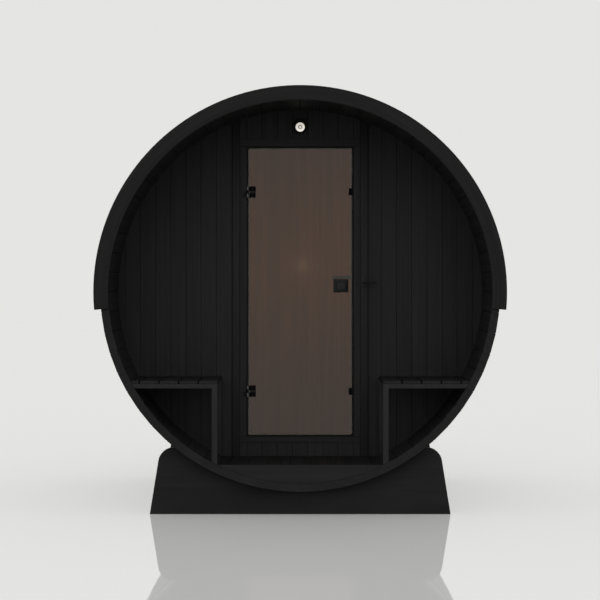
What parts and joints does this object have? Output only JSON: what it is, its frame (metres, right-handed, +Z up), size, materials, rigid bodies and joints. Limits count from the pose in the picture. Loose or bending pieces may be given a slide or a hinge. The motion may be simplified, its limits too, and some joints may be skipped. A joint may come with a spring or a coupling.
{
  "type": "barrel sauna with porch and glass door",
  "caption": "Black-stained barrel sauna on cradles, with an open porch, side benches, a framed glass door that swings out, and a boarded roof with arch fascias.",
  "frame": {"origin": "on the ground under the middle of the barrel", "axes": "+Z up, +X to the right seen from the front, the porch faces -Y"},
  "size_m": [2.3446, 2.44, 2.4471],
  "materials": {
    "stained_wood": "black opaque stain, satin",
    "bare_wood": "bare planed boards",
    "tinted_glass": "toughened glass, grey-brown tint",
    "black_metal": "matt black powder coat",
    "hinge_steel": "brushed",
    "hoop_steel": "rolled stainless band",
    "opal_lens": "opal diffuser"
  },
  "bodies": {
    "sauna": {"bench_left_frame": "stained_wood", "bench_left_seat": "stained_wood", "bench_right_frame": "stained_wood", "bench_right_seat": "stained_wood", "cabin_floor": "bare_wood", "cover_batten_left": "stained_wood", "cover_batten_right": "stained_wood", "cradle_front": "stained_wood", "cradle_middle": "stained_wood", "cradle_rear": "stained_wood", "door_frame_head": "stained_wood", "door_frame_left": "stained_wood", "door_frame_right": "stained_wood", "door_frame_sill": "stained_wood", "door_jamb_hinges": "hinge_steel", "fascia_front": "stained_wood", "fascia_rear": "stained_wood", "floor_bearers": "stained_wood", "front_wall_head": "stained_wood", "front_wall_left": "stained_wood", "front_wall_right": "stained_wood", "front_wall_sill": "stained_wood", "hook": "black_metal", "hoops": "hoop_steel", "lamp_body": "black_metal", "lamp_lens": "opal_lens", "porch_floor": "stained_wood", "porch_skirt": "stained_wood", "rear_wall": "stained_wood", "roof_battens": "stained_wood", "roof_boards_1": "stained_wood", "roof_boards_2": "stained_wood", "roof_boards_3": "stained_wood", "roof_boards_4": "stained_wood", "roof_boards_5": "stained_wood", "shell_staves_01": "stained_wood", "shell_staves_02": "stained_wood", "shell_staves_03": "stained_wood", "shell_staves_04": "stained_wood", "shell_staves_05": "stained_wood", "shell_staves_06": "stained_wood", "shell_staves_07": "stained_wood", "shell_staves_08": "stained_wood", "shell_staves_09": "stained_wood", "shell_staves_10": "stained_wood", "shell_staves_11": "stained_wood", "shell_staves_12": "stained_wood"},
    "door": {"door_glass": "tinted_glass", "door_glass_hinges": "black_metal", "door_catches": "black_metal", "door_pull_outer": "black_metal", "door_pull_inner": "black_metal"}
  },
  "joints": [
    {"name": "door_hinge", "type": "hinge", "parent": "sauna", "child": "door", "pos_m": [-0.314, -0.62, 1.2765], "axis": [0, 0, -1], "range_deg": [0, 100]}
  ]
}
